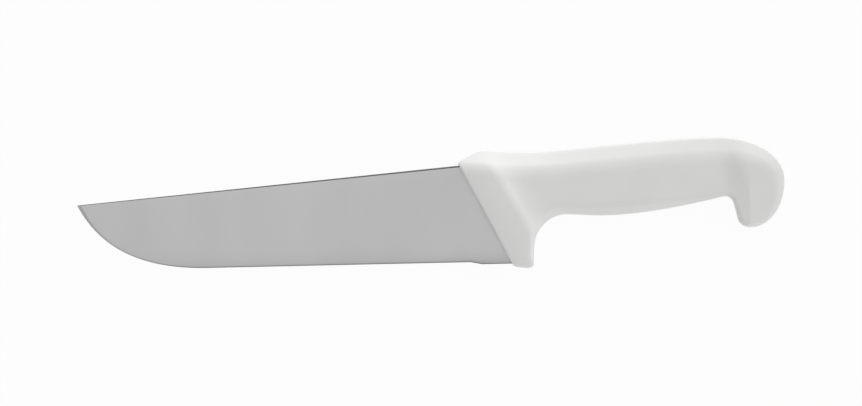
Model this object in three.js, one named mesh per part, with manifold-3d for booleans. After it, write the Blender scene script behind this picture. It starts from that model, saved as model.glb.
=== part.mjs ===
// A butcher's carving knife with a moulded handle, in millimetres.
//
// It is made of two pieces, as the real one is: a steel blade, stamped with its tang from one
// sheet and then ground and sharpened, and a white plastic handle that is moulded round the tang
// and grips it through the tang's holes.
//
// The knife lies on its side. X runs along the cutting edge, from the tip to the butt, Y runs from
// the edge to the spine, and Z stands square to the blade. The shapes are drawn from the heel,
// where the line of the cutting edge meets the handle, with the blade's middle plane at Z = 0.
// The last lines move the knife, so that its origin is under the middle of its box.

import * as THREE from "three";
import { mergeVertices } from "three/addons/utils/BufferGeometryUtils.js";
import Module from "manifold-3d";

// Blade, seen from its side
const BLADE_LENGTH = 199.6; // tip to heel, along the cutting edge
const TIP_HEIGHT = 30.1; // tip above the line of the cutting edge
const SPINE_RISE = 4.72; // degrees between the spine and the cutting edge
const BELLY_LENGTH = 59.6; // the curved part of the edge, along X
const BELLY_EASE = 38; // how far the belly keeps close to the line of the straight edge
const TIP_EASE = 16; // how far it keeps close to its direction at the tip
const TIP_ANGLE = 63; // degrees between the belly at the tip and the straight edge
const HEEL_LENGTH = 18.7; // unsharpened edge ahead of the handle
const GRIND_ALLOWANCE = 1.05; // what sharpening takes off the edge of the blank
const RUN_OUT_ANGLE = 11; // degrees at which the sharpened edge runs out to the heel

// Blade, across its thickness
const STOCK = 2.5; // thickness of the sheet, which the tang keeps
const SPINE_THICKNESS = 2.4; // ground spine at the handle
const HEEL_THICKNESS = 0.9; // behind the edge at the heel
const BELLY_THICKNESS = 0.3; // behind the edge where the belly starts
const EDGE_ANGLE = 20; // degrees between each cutting bevel and the middle plane
const EDGE_FLAT = 0.04; // width of the sharpened edge itself
const POLISH_STOCK = 0.05; // what polishing takes off each side, once the handle is on

// Tang, inside the handle and parallel to the spine
const ROOT_DEPTH = 7; // the blade's full height runs this far into the handle
const PLUNGE_DEPTH = 4; // the grinding runs this far into the handle
const TANG_DROP = 6; // top of the tang below the line of the spine
const TANG_HEIGHT = 15;
const TANG_CORNER = 4; // rounding of the corners at its end
const TANG_BUTT_WALL = 14; // end of the tang to the front of the hook
const TANG_HOLE = 6.5; // diameter
const TANG_HOLE_COUNT = 3;
const TANG_HOLE_PITCH = 24;
const TANG_HOLE_EDGE = 11; // centre of the last hole to the end of the tang
const CLEARANCE = 0.3; // round the blade and tang inside the handle

// Handle, seen from its side
const FRONT_RAKE = 27.3; // degrees between the front face and a square to the edge
const FRONT_TOP_LIP = 0.8; // front face above the spine
const FRONT_BOTTOM_LIP = 0.7; // front face below the heel
const HUMP_SETBACK = 11.7; // thumb hump behind the top of the front face
const HUMP_RISE = 5.7; // thumb hump above the top of the front face
const HUMP_CREST = 2.7; // how far the hump stays level towards the thumb rest
const THUMB_SETBACK = 23.7; // lowest point of the thumb rest behind the hump
const THUMB_DIP = 1.4; // depth of the thumb rest below the hump
const THUMB_LEAD = 16; // how far the thumb rest is nearly level ahead of its lowest point
const THUMB_TRAIL = 10; // and behind it
const BACK_HEIGHT = 55.15; // highest point of the back above the cutting edge
const BACK_LEAD = 6.55; // that point ahead of the hook's corner
const BACK_EASE = 30; // how far the back is nearly level ahead of that point
const GUARD_LENGTH = 10.45; // heel to the rear face of the guard
const GUARD_DROP = 3.2; // guard below the cutting edge
const GUARD_CORNER = 2; // rounding of its rear lower corner
const GUARD_HEIGHT = 9.4; // straight rear face, from the guard's lower end
const GUARD_LEAN = 2.5; // degrees between the rear face and a square to the edge
const GUARD_FILLET = 15; // length along the grip of the round between guard and grip
const GRIP_UNDERSIDE = 20.3; // lowest point of the grip above the cutting edge
const GRIP_LOW_SETBACK = 32.55; // that point behind the guard
const INDEX_REST_RISE = 0.85; // grip at the guard's round, above its lowest point
const GRIP_LOW_EASE = 19; // how far the grip is nearly level behind its lowest point
const GRIP_REAR_RISE = 8.5; // hook's corner with the grip, above the grip's lowest point
const GRIP_REAR_ANGLE = 13; // degrees at which the grip meets the hook
const GRIP_REAR_EASE = 15.5; // how far the grip is nearly straight ahead of the hook
const FINGER_ROOM = 92.1; // guard to the hook's corner
const HOOK_CORNER = 4.5; // reach of the round in that corner
const HOOK_LEAN = 13; // degrees between the front of the hook and a square to the edge
const HOOK_DROP = 15.5; // end of the hook below its corner
const HOOK_NOSE = 4; // reach of the round between the front of the hook and its end
const HOOK_END_SETBACK = 8.25; // lowest point of the hook behind its corner
const POMMEL_LENGTH = 24.25; // hook's corner to the butt
const BUTT_HEIGHT = 35; // rearmost point of the butt above the cutting edge

// Handle, across its thickness
const COLLAR_WIDTH = 23.1; // along the crown of its sides, at the top of the front face
const GUARD_WIDTH = 21.8; // at the lower end of the guard
const GRIP_WIDTH = 18;
const PALM_SWELL = 1; // added to the grip's width at its middle
const POMMEL_WIDTH = 23;
const FRONT_EDGE = 0.9; // rounding of the front face's edges
const COLLAR_CROWN = 11; // widest line of the collar at its top, back from the front face
const GUARD_CROWN = 13.2; // the same line at the lower end of the guard
const CROWN_FALL = 1.8; // width that the collar loses from there to the front face
const SCOOP_LENGTH = 18; // hollow from the collar down to the grip
const CREST_SETBACK = 8.75; // edge of the pommel's raised side behind the hook's corner
const CREST_BEND = 16.3; // radius of that edge where it turns towards the back
const CREST_BEND_HEIGHT = 40; // where the turn starts, above the cutting edge
const POMMEL_RAMP = 13.5; // slope from the grip up to the pommel's raised side
const FADE_START = 5; // degrees round the turn where the raised edge begins to fade
const FADE_END = 65; // degrees round the turn where it is gone

// Bevels of the handle's edges: how far they reach over the sides, and the share of the width that
// is left between the two of them
const COLLAR_BEVEL = 8;
const COLLAR_BACK_SHARE = 0.34;
const THUMB_BEVEL = 8.2;
const THUMB_BACK_SHARE = 0.25;
const REAR_BEVEL = 8;
const REAR_BACK_SHARE = 0.59;
const BUTT_BEVEL = 5;
const BUTT_SHARE = 0.9;
const GUARD_BEVEL = 4.5;
const GUARD_SHARE = 0.88;
const GRIP_UNDER_BEVEL = 4;
const GRIP_UNDER_SHARE = 0.6;
const HOOK_BEVEL = 1.6;
const HOOK_SHARE = 0.9;
const HOOK_END_ROUNDING = 4;

// Form of the curves, as pure numbers
const CIRCLE_FULLNESS = 0.5523; // a cubic curve of this fullness is a quarter circle
const RAMP_FULLNESS = 0.15; // of the thumb ramp, which is flatter
const BUTT_FULLNESS = 0.575; // of the back's turn down to the butt, which is fuller
const BEVEL_EDGE = 0.1; // share of a bevel that is rounded towards the back or the underside
const BEVEL_SOFTNESS = 0.3; // share of a bevel that is rounded towards the side
const BEVEL_TAIL = 0.65; // how far that rounding runs on over the side, as a share of the bevel
const SCOOP_STEEPEST = 0.24; // share of the hollow's length at which it is steepest
const RAMP_SOFTNESS = 0.5; // share of the pommel's slope that is hollow
const CREST_SOFTNESS = 0.12; // share of it that is rounded at the crest, on the hook
const CREST_TOP_SOFTNESS = 0.45; // the same where the crest turns towards the back
const FLANK_SHARE = 0.3; // least share of a section that stays between its bevels
const CREST_MARGIN = 0.2; // least share of that flank on each side of the pommel's crest

// Fineness of the facets
const EDGE_STEPS = 32;
const BLANK_STEPS = 10;
const COLLAR_STEPS = 10;
const GUARD_STEPS = 14;
const GRIP_STEPS = 16;
const POMMEL_STEPS = 26;
const BEVEL_EDGE_STEPS = 2;
const BEVEL_SIDE_STEPS = 4;
const UPPER_FLANK_STEPS = 2;
const LOWER_FLANK_STEPS = 5;
const HALVINGS = 30; // in the search for the pommel's crest
const WELD = 1e-4; // corners closer than this are one

const WHITE_PLASTIC = new THREE.MeshStandardMaterial({ color: 0xeaeae8, roughness: 0.46, metalness: 0 });
const SATIN_STEEL = new THREE.MeshStandardMaterial({ color: 0xd8d8d9, roughness: 0.22, metalness: 1 });

const { sin, cos, tan, atan2, sqrt, pow, floor, min, max, hypot, PI } = Math;
const { degToRad, radToDeg, lerp, clamp, smoothstep } = THREE.MathUtils;
const at = (x, y) => new THREE.Vector2(x, y);

const wasm = await Module();
wasm.setup();

// Lines and points that both pieces share

const rake = degToRad(FRONT_RAKE);
const spineSlope = tan(degToRad(SPINE_RISE));
const tip = at(-BLADE_LENGTH, TIP_HEIGHT);
const heelY = -GRIND_ALLOWANCE;
const hookCorner = at(GUARD_LENGTH + FINGER_ROOM, GRIP_UNDERSIDE + GRIP_REAR_RISE);

function spineY(x) {
  return tip.y + (x - tip.x) * spineSlope;
}

// A point at a given height, on a line parallel to the front face and a given depth behind it
function behindFront(depth, y) {
  return at(depth / cos(rake) - y * tan(rake), y);
}

function depthBehindFront(x, y) {
  return x * cos(rake) + y * sin(rake);
}

// Where such a line meets a line parallel to the spine, a given height below it
function belowSpine(depth, drop) {
  const level = spineY(0) - drop;
  const x = (depth / cos(rake) - level * tan(rake)) / (1 + spineSlope * tan(rake));
  return at(x, level + x * spineSlope);
}

// Curves

// Draws a round from the path's current point to an end, inside the corner between the two
function roundTo(path, corner, end, fullness = CIRCLE_FULLNESS) {
  const first = path.currentPoint.clone().lerp(corner, fullness);
  const second = end.clone().lerp(corner, fullness);
  path.bezierCurveTo(first.x, first.y, second.x, second.y, end.x, end.y);
}

// Draws a curve that leaves level, and arrives at an end level or at an angle
function easeTo(path, end, startEase, endEase, endAngle = 0) {
  const start = path.currentPoint;
  const lastX = end.x - endEase * cos(degToRad(endAngle));
  const lastY = end.y - endEase * sin(degToRad(endAngle));
  path.bezierCurveTo(start.x + startEase, start.y, lastX, lastY, end.x, end.y);
}

function pathFrom(start) {
  return new THREE.Path().moveTo(start.x, start.y);
}

// Solids

function solid(geometry) {
  const bare = geometry.index ? geometry.toNonIndexed() : geometry;
  bare.deleteAttribute("normal");
  bare.deleteAttribute("uv");
  const merged = mergeVertices(bare, WELD);
  const vertProperties = new Float32Array(merged.attributes.position.array);
  const triVerts = new Uint32Array(merged.index.array);
  return new wasm.Manifold(new wasm.Mesh({ numProp: 3, vertProperties, triVerts }));
}

function geometryOf(body) {
  const mesh = body.getMesh();
  const geometry = new THREE.BufferGeometry();
  geometry.setAttribute("position", new THREE.BufferAttribute(mesh.vertProperties, 3));
  geometry.setIndex(new THREE.BufferAttribute(mesh.triVerts, 1));
  geometry.computeVertexNormals();
  return geometry;
}

// A solid over an outline, between two heights that may vary over it
function slab(shape, low, high) {
  const geometry = new THREE.ExtrudeGeometry(shape, { depth: 1, bevelEnabled: false });
  const position = geometry.attributes.position;
  for (let i = 0; i < position.count; i++) {
    const height = position.getZ(i) === 0 ? low : high;
    position.setZ(i, height(position.getX(i), position.getY(i)));
  }
  return solid(geometry);
}

// Blade

const bellyX = tip.x + BELLY_LENGTH;
const tipDirection = at(-cos(degToRad(TIP_ANGLE)), sin(degToRad(TIP_ANGLE)));

// Draws the belly from the tip to the straight edge, moved out by an allowance
function drawBelly(path, allowance) {
  const out = at(-allowance, -allowance);
  const start = tip.clone().add(out);
  const first = start.clone().addScaledVector(tipDirection, -TIP_EASE);
  const second = at(bellyX - BELLY_EASE, 0).add(out);
  path.lineTo(start.x, start.y);
  path.bezierCurveTo(first.x, first.y, second.x, second.y, bellyX + out.x, out.y);
}

// Outline of the stamped sheet, with the holes of the tang
function blankShape() {
  const overTip = tip.x - 2 * GRIND_ALLOWANCE;
  const rootBottom = behindFront(ROOT_DEPTH, heelY);
  const rootTop = belowSpine(ROOT_DEPTH, 0);
  const tangTop = belowSpine(ROOT_DEPTH, TANG_DROP);
  const tangBottom = belowSpine(ROOT_DEPTH, TANG_DROP + TANG_HEIGHT);
  const endX = hookCorner.x - TANG_BUTT_WALL;
  const cornerX = endX - TANG_CORNER;
  const onTang = (x, across) => at(x, spineY(x) - TANG_DROP - across);

  const shape = new THREE.Shape();
  shape.moveTo(overTip, spineY(overTip));
  drawBelly(shape, GRIND_ALLOWANCE);
  shape.lineTo(rootBottom.x, rootBottom.y);
  shape.lineTo(tangBottom.x, tangBottom.y);
  shape.lineTo(cornerX, onTang(cornerX, TANG_HEIGHT).y);
  roundTo(shape, onTang(endX, TANG_HEIGHT), onTang(endX, TANG_HEIGHT - TANG_CORNER));
  shape.lineTo(endX, onTang(endX, TANG_CORNER).y);
  roundTo(shape, onTang(endX, 0), onTang(cornerX, 0));
  shape.lineTo(tangTop.x, tangTop.y);
  shape.lineTo(rootTop.x, rootTop.y);
  shape.closePath();

  for (let i = 0; i < TANG_HOLE_COUNT; i++) {
    const centre = onTang(endX - TANG_HOLE_EDGE - i * TANG_HOLE_PITCH, TANG_HEIGHT / 2);
    shape.holes.push(new THREE.Path().absarc(centre.x, centre.y, TANG_HOLE / 2, 0, 2 * PI));
  }
  return shape;
}

// The stamped sheet, grown all round by a gap where it is to be a pocket
function blank(gap) {
  const geometry = new THREE.ExtrudeGeometry(blankShape(), {
    depth: STOCK,
    curveSegments: BLANK_STEPS,
    bevelEnabled: gap > 0,
    bevelThickness: gap,
    bevelSize: gap,
    bevelSegments: 1,
  });
  return solid(geometry.translate(0, 0, -STOCK / 2));
}

// Half the finished blade's thickness: one plane through its three named thicknesses
function groundHalf(x, y) {
  const spineEnd = belowSpine(0, 0);
  const alongX = (HEEL_THICKNESS - BELLY_THICKNESS) / -bellyX;
  const alongY = (SPINE_THICKNESS - HEEL_THICKNESS - alongX * spineEnd.x) / spineEnd.y;
  return (HEEL_THICKNESS + alongX * x + alongY * y) / 2;
}

// Takes both sides of a body down to the ground planes and an allowance, from the tip to a line a
// given depth behind the handle's front face
function grind(body, allowance, depth) {
  const low = -BLADE_LENGTH;
  const high = BLADE_LENGTH;
  const farX = tip.x - BLADE_LENGTH;
  const waste = new THREE.Shape([
    at(farX, low), behindFront(depth, low), behindFront(depth, high), at(farX, high),
  ]);
  const ground = (x, y) => groundHalf(x, y) + allowance;
  const above = slab(waste, ground, () => BLADE_LENGTH);
  const below = slab(waste, () => -BLADE_LENGTH, (x, y) => -ground(x, y));
  return body.subtract(above).subtract(below);
}

// The blank as the handle is moulded round it: both sides taper from the spine to the edge, as far
// as the plunge inside the handle
function groundBlank(gap) {
  return grind(blank(gap), POLISH_STOCK + gap, PLUNGE_DEPTH - gap);
}

// The space that sharpening leaves: two bevels meet at the edge and run out at the heel, and every
// other side is clear of the blade
function sharpeningEnvelope() {
  const room = BLADE_LENGTH;
  const aboveTip = tip.clone().addScaledVector(tipDirection, room);
  const runOut = at(hookCorner.x, -(hookCorner.x + HEEL_LENGTH) * tan(degToRad(RUN_OUT_ANGLE)));
  const farX = hookCorner.x + room;

  const shape = new THREE.Shape();
  shape.moveTo(aboveTip.x, aboveTip.y);
  drawBelly(shape, 0);
  shape.lineTo(-HEEL_LENGTH, 0);
  shape.lineTo(runOut.x, runOut.y);
  shape.lineTo(farX, runOut.y);
  shape.lineTo(farX, aboveTip.y);
  shape.closePath();

  const bevelWidth = STOCK / tan(degToRad(EDGE_ANGLE));
  const geometry = new THREE.ExtrudeGeometry(shape, {
    depth: EDGE_FLAT,
    curveSegments: EDGE_STEPS,
    bevelThickness: STOCK,
    bevelSize: bevelWidth,
    bevelOffset: -bevelWidth,
    bevelSegments: 1,
  });
  return solid(geometry.translate(0, 0, -EDGE_FLAT / 2));
}

// The finished blade, polished and sharpened as far as the handle lets the wheels come
function bladeBody() {
  return grind(groundBlank(0), 0, -CLEARANCE).intersect(sharpeningEnvelope());
}

// Handle, seen from its side: a back and an underside in four stretches each, which the sections
// of the handle join point by point

const frontTop = behindFront(0, belowSpine(0, 0).y + FRONT_TOP_LIP);
const frontBottom = behindFront(0, heelY - FRONT_BOTTOM_LIP);
const hump = at(frontTop.x + HUMP_SETBACK, frontTop.y + HUMP_RISE);
const thumb = at(hump.x + THUMB_SETBACK, hump.y - THUMB_DIP);
const back = at(hookCorner.x - BACK_LEAD, BACK_HEIGHT);
const butt = at(hookCorner.x + POMMEL_LENGTH, BUTT_HEIGHT);
const hookEnd = at(hookCorner.x + HOOK_END_SETBACK, hookCorner.y - HOOK_DROP);

function onGuard(y) {
  return at(GUARD_LENGTH + (y + GUARD_DROP) * tan(degToRad(GUARD_LEAN)), y);
}

function onHook(y) {
  return at(hookCorner.x + (hookCorner.y - y) * tan(degToRad(HOOK_LEAN)), y);
}

const guardCornerEnd = onGuard(-GUARD_DROP + GUARD_CORNER);
const guardTop = onGuard(-GUARD_DROP + GUARD_HEIGHT);
const indexRest = at(guardTop.x + GUARD_FILLET, GRIP_UNDERSIDE + INDEX_REST_RISE);
const gripLow = at(GUARD_LENGTH + GRIP_LOW_SETBACK, GRIP_UNDERSIDE);
const gripRear = at(
  hookCorner.x - HOOK_CORNER * cos(degToRad(GRIP_REAR_ANGLE)),
  hookCorner.y - HOOK_CORNER * sin(degToRad(GRIP_REAR_ANGLE)),
);

function collarTop() {
  const path = pathFrom(frontTop);
  roundTo(path, behindFront(0, hump.y), hump, RAMP_FULLNESS);
  return path;
}

function guardEnd() {
  const path = pathFrom(frontBottom);
  roundTo(path, behindFront(0, -GUARD_DROP), at(GUARD_LENGTH - GUARD_CORNER, -GUARD_DROP));
  roundTo(path, onGuard(-GUARD_DROP), guardCornerEnd);
  return path;
}

function thumbRest() {
  const path = pathFrom(hump);
  easeTo(path, thumb, HUMP_CREST, THUMB_LEAD);
  return path;
}

function guardRear() {
  const path = pathFrom(guardCornerEnd);
  path.lineTo(guardTop.x, guardTop.y);
  roundTo(path, onGuard(indexRest.y), indexRest);
  return path;
}

function gripBack() {
  const path = pathFrom(thumb);
  easeTo(path, back, THUMB_TRAIL, BACK_EASE);
  return path;
}

function gripUnderside() {
  const path = pathFrom(indexRest);
  const third = (gripLow.x - indexRest.x) / 3;
  easeTo(path, gripLow, third, third);
  easeTo(path, gripRear, GRIP_LOW_EASE, GRIP_REAR_EASE, GRIP_REAR_ANGLE);
  return path;
}

function pommelBack() {
  const path = pathFrom(back);
  roundTo(path, at(butt.x, back.y), butt, BUTT_FULLNESS);
  roundTo(path, at(butt.x, hookEnd.y), hookEnd);
  return path;
}

function hookFront() {
  const path = pathFrom(gripRear);
  roundTo(path, hookCorner, onHook(hookCorner.y - HOOK_CORNER * cos(degToRad(HOOK_LEAN))));
  const noseStart = onHook(hookEnd.y + HOOK_NOSE);
  path.lineTo(noseStart.x, noseStart.y);
  roundTo(path, onHook(hookEnd.y), hookEnd);
  return path;
}

// Handle, across its thickness

const crestCentre = at(hookCorner.x + CREST_SETBACK - CREST_BEND, CREST_BEND_HEIGHT);

// Distance from the middle of the crest's bend, which is the crest itself at CREST_BEND
function crestReach(x, y) {
  return hypot(max(x - crestCentre.x, 0), max(y - crestCentre.y, 0));
}

// 0 on the grip, 1 on the pommel's raised side
function pommelRise(x, y) {
  const share = clamp((crestReach(x, y) - CREST_BEND + POMMEL_RAMP) / POMMEL_RAMP, 0, 1);
  const up = smoothstep(y, hookCorner.y, CREST_BEND_HEIGHT);
  const softness = lerp(CREST_SOFTNESS, CREST_TOP_SOFTNESS, up);
  const hollow = pow(min(share, RAMP_SOFTNESS), 2) / (2 * RAMP_SOFTNESS);
  const rounded = pow(max(share - 1 + softness, 0), 2) / (2 * softness);
  const full = 1 - (RAMP_SOFTNESS + softness) / 2;
  const rise = (hollow + max(share - RAMP_SOFTNESS, 0) - rounded) / full;
  const turn = radToDeg(atan2(max(y - crestCentre.y, 0), max(x - crestCentre.x, 0)));
  return rise * (1 - smoothstep(turn, FADE_START, FADE_END));
}

// Width that the collar loses at a share of the way from the front face to its crown
function crownFall(share) {
  return CROWN_FALL * pow(clamp(1 - share, 0, 1), 3);
}

// 0 on the collar, 1 past the hollow behind it: its slope grows evenly, and then fades out
function scoopFall(share) {
  const steepest = 1 / (SCOOP_STEEPEST / 2 + (1 - SCOOP_STEEPEST) / 3);
  if (share < SCOOP_STEEPEST) return (steepest * pow(share, 2)) / (2 * SCOOP_STEEPEST);
  return 1 - (steepest * pow(1 - share, 3)) / (3 * pow(1 - SCOOP_STEEPEST, 2));
}

// What the rounding of the front edges takes off the width
function frontEdgeCut(depth) {
  const inside = max(FRONT_EDGE - depth, 0);
  return FRONT_EDGE - sqrt(pow(FRONT_EDGE, 2) - pow(min(inside, FRONT_EDGE), 2));
}

// Half the width of the handle's sides at a point of the side view
function sideHalf(x, y) {
  const depth = depthBehindFront(x, y);
  const collarShare = (y + GUARD_DROP) / (frontTop.y + GUARD_DROP);
  const crown = lerp(GUARD_CROWN, COLLAR_CROWN, collarShare);
  const collar = lerp(GUARD_WIDTH, COLLAR_WIDTH, collarShare) - crownFall(depth / crown);
  const scoop = scoopFall(clamp((depth - crown) / SCOOP_LENGTH, 0, 1));
  const gripShare = clamp((x - GUARD_LENGTH) / FINGER_ROOM, 0, 1);
  const grip = GRIP_WIDTH + PALM_SWELL * pow(sin(gripShare * PI), 2);
  const width = lerp(lerp(collar, grip, scoop), POMMEL_WIDTH, pommelRise(x, y));
  return width / 2 - frontEdgeCut(depth);
}

// A bevel: X is its reach over the side, Y the share of the width left, and Z its reach when whole
function bevelForm(reach, share, fullReach = reach) {
  return new THREE.Vector3(reach, share, fullReach);
}

// The bevel at a share of the way along evenly spaced ones
function bevelAt(bevels, share) {
  const place = share * (bevels.length - 1);
  const index = min(floor(place), bevels.length - 2);
  return bevels[index].clone().lerp(bevels[index + 1], place - index);
}

// Points from the middle plane over a bevel to the side: X is the drop, Y the share of the width
function bevelSteps(bevel, room) {
  const reach = bevel.x * room;
  const fullReach = bevel.z * room;
  const back = at(0, bevel.y);
  const corner = at(reach, 1);
  const onBevel = (share) => back.clone().lerp(corner, share);
  const softness = min((BEVEL_SOFTNESS * fullReach) / reach, 1 - BEVEL_EDGE);
  const side = at(reach + BEVEL_TAIL * fullReach, 1);
  const edgeBend = new THREE.QuadraticBezierCurve(at(0, 0), back, onBevel(BEVEL_EDGE));
  const sideBend = new THREE.QuadraticBezierCurve(onBevel(1 - softness), corner, side);
  return [...edgeBend.getPoints(BEVEL_EDGE_STEPS), ...sideBend.getPoints(BEVEL_SIDE_STEPS)];
}

// Where the crest crosses a section, as a distance from its top
function crestCrossing(top, under, length) {
  let near = 0;
  let far = length;
  for (let i = 0; i < HALVINGS; i++) {
    const middle = (near + far) / 2;
    const place = top.clone().lerp(under, middle / length);
    if (crestReach(place.x, place.y) > CREST_BEND) near = middle;
    else far = middle;
  }
  return near;
}

// One side of a section, from the back to the underside
function sectionSide(top, under, topBevel, underBevel, endShare) {
  const length = top.distanceTo(under);
  const wanted = topBevel.x + underBevel.x + BEVEL_TAIL * (topBevel.z + underBevel.z);
  const room = min(1, (length * (1 - FLANK_SHARE)) / wanted);
  const topSteps = bevelSteps(topBevel, room);
  const underSteps = bevelSteps(underBevel, room).reverse();
  const upper = topSteps.at(-1).x;
  const lower = length - underSteps[0].x;
  const margin = (lower - upper) * CREST_MARGIN;
  const crest = clamp(crestCrossing(top, under, length), upper + margin, lower - margin);

  const steps = [...topSteps];
  for (let i = 1; i <= UPPER_FLANK_STEPS; i++) {
    steps.push(at(lerp(upper, crest, i / UPPER_FLANK_STEPS), 1));
  }
  for (let i = 1; i < LOWER_FLANK_STEPS; i++) {
    steps.push(at(lerp(crest, lower, i / LOWER_FLANK_STEPS), 1));
  }
  for (const step of underSteps) steps.push(at(length - step.x, step.y));

  return steps.map((step) => {
    const place = top.clone().lerp(under, step.x / length);
    return new THREE.Vector3(place.x, place.y, step.y * endShare * sideHalf(place.x, place.y));
  });
}

// The collar's bevel runs on level to the front face, where the thumb ramp has cut most of it off
const rampShare = HUMP_RISE / COLLAR_BEVEL;
const frontShare = lerp(COLLAR_BACK_SHARE, 1, rampShare);
const frontBevel = bevelForm(COLLAR_BEVEL * (1 - rampShare), frontShare, COLLAR_BEVEL);
const collarBevel = bevelForm(COLLAR_BEVEL, COLLAR_BACK_SHARE);
const thumbBevel = bevelForm(THUMB_BEVEL, THUMB_BACK_SHARE);
const rearBevel = bevelForm(REAR_BEVEL, REAR_BACK_SHARE);
const buttBevel = bevelForm(BUTT_BEVEL, BUTT_SHARE);
const guardBevel = bevelForm(GUARD_BEVEL, GUARD_SHARE);
const gripBevel = bevelForm(GRIP_UNDER_BEVEL, GRIP_UNDER_SHARE);
const hookBevel = bevelForm(HOOK_BEVEL, HOOK_SHARE);

const stretches = [
  {
    top: collarTop(), under: guardEnd(), steps: COLLAR_STEPS,
    topBevels: [frontBevel, collarBevel], underBevels: [guardBevel, guardBevel],
  },
  {
    top: thumbRest(), under: guardRear(), steps: GUARD_STEPS,
    topBevels: [collarBevel, thumbBevel], underBevels: [guardBevel, guardBevel, gripBevel],
  },
  {
    top: gripBack(), under: gripUnderside(), steps: GRIP_STEPS,
    topBevels: [thumbBevel, rearBevel], underBevels: [gripBevel, gripBevel, hookBevel],
  },
  {
    top: pommelBack(), under: hookFront(), steps: POMMEL_STEPS,
    topBevels: [rearBevel, buttBevel, hookBevel], underBevels: [hookBevel, hookBevel],
  },
];

// Sections of the whole handle, from the front face to just before the end of the hook
function handleSections() {
  const sections = [];
  stretches.forEach((stretch, index) => {
    const last = index === stretches.length - 1;
    for (let i = index === 0 ? 0 : 1; i <= stretch.steps; i++) {
      const even = i / stretch.steps;
      const share = last ? (even + sin((even * PI) / 2)) / 2 : even;
      if (last && i === stretch.steps) return;
      const top = stretch.top.getPoint(share);
      const under = stretch.under.getPoint(share);
      const topBevel = bevelAt(stretch.topBevels, share);
      const underBevel = bevelAt(stretch.underBevels, share);
      const toEnd = top.clone().lerp(under, 0.5).distanceTo(hookEnd) / HOOK_END_ROUNDING;
      const endShare = sqrt(1 - pow(1 - min(toEnd, 1), 2));
      sections.push(sectionSide(top, under, topBevel, underBevel, endShare));
    }
  });
  return sections;
}

// Joins sections, each mirrored to the other side, into a closed skin that ends in one point
function loft(sections, end) {
  const sideCount = sections[0].length;
  const ringCount = 2 * sideCount - 2;
  const positions = [];
  for (const side of sections) {
    for (const p of side) positions.push(p.x, p.y, p.z);
    for (const p of side.slice(1, -1).reverse()) positions.push(p.x, p.y, -p.z);
  }
  const endIndex = positions.length / 3;
  positions.push(end.x, end.y, 0);

  const index = [];
  for (let ring = 0; ring < sections.length; ring++) {
    for (let i = 0; i < ringCount; i++) {
      const a = ring * ringCount + i;
      const b = ring * ringCount + ((i + 1) % ringCount);
      if (ring === sections.length - 1) index.push(a, b, endIndex);
      else index.push(a, b, a + ringCount, b, b + ringCount, a + ringCount);
    }
  }
  for (let i = 0; i < sideCount - 1; i++) {
    const mirrored = (ringCount - i) % ringCount;
    index.push(i, mirrored, i + 1, i + 1, mirrored, ringCount - i - 1);
  }
  const geometry = new THREE.BufferGeometry();
  geometry.setAttribute("position", new THREE.Float32BufferAttribute(positions, 3));
  geometry.setIndex(index);
  return geometry;
}

function handleBody() {
  return solid(loft(handleSections(), hookEnd)).subtract(groundBlank(CLEARANCE));
}

// Assembly

function piece(name, body, material) {
  const mesh = new THREE.Mesh(geometryOf(body), material);
  mesh.name = name;
  return mesh;
}

const knife = new THREE.Group();
knife.add(piece("blade", bladeBody(), SATIN_STEEL));
knife.add(piece("handle", handleBody(), WHITE_PLASTIC));

const box = new THREE.Box3().setFromObject(knife);
const middle = box.getCenter(new THREE.Vector3());
knife.position.set(-middle.x, -middle.y, -box.min.z);

export default knife;
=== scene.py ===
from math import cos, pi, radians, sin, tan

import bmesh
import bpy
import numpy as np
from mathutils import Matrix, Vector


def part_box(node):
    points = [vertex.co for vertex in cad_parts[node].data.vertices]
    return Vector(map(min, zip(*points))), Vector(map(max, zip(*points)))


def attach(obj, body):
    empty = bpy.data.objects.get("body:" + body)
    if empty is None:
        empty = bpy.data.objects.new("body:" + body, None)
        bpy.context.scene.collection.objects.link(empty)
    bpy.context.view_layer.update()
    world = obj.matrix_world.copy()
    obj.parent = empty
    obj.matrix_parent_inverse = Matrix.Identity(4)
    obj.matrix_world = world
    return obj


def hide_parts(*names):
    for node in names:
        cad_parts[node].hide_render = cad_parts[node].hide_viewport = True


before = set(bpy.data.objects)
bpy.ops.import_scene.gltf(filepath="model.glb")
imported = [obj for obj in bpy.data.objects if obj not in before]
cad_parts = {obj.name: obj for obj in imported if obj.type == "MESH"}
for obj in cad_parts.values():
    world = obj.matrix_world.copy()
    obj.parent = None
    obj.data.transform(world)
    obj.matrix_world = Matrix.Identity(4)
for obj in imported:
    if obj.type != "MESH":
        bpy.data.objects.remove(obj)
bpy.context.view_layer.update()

# A butcher's carving knife with a white moulded handle, lying on its side under soft studio light.
#
# The shapes repeat the construction of the part at a finer step, in millimetres and degrees. X runs
# along the cutting edge from the tip to the butt, Y from the edge to the spine, and Z square to the
# blade, from the heel, where the line of the cutting edge meets the handle. The frame's landmarks
# then carry every point into the frame, in metres.

MM = 0.001  # metres
PAINTED_SHADE_NAME = "painted_shade"  # attribute of the blade's mesh: how dark the painted shade and painted dark reflections make the steel, from 0 to 1

# Blade, seen from its side
BLADE_LENGTH = 199.6  # tip to heel, along the cutting edge
TIP_HEIGHT = 30.1  # tip above the line of the cutting edge
SPINE_RISE = 4.72  # degrees between the spine and the cutting edge
BELLY_LENGTH = 59.6  # the curved part of the edge, along X
BELLY_EASE = 38  # how far the belly keeps close to the line of the straight edge
TIP_EASE = 16  # how far it keeps close to its direction at the tip
TIP_ANGLE = 63  # degrees between the belly at the tip and the straight edge
HEEL_LENGTH = 18.7  # unsharpened edge ahead of the handle
HEEL_DROP = 1.05  # unsharpened edge below the line of the cutting edge
RUN_OUT_ANGLE = 11  # degrees at which the sharpened edge runs out to the heel

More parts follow.
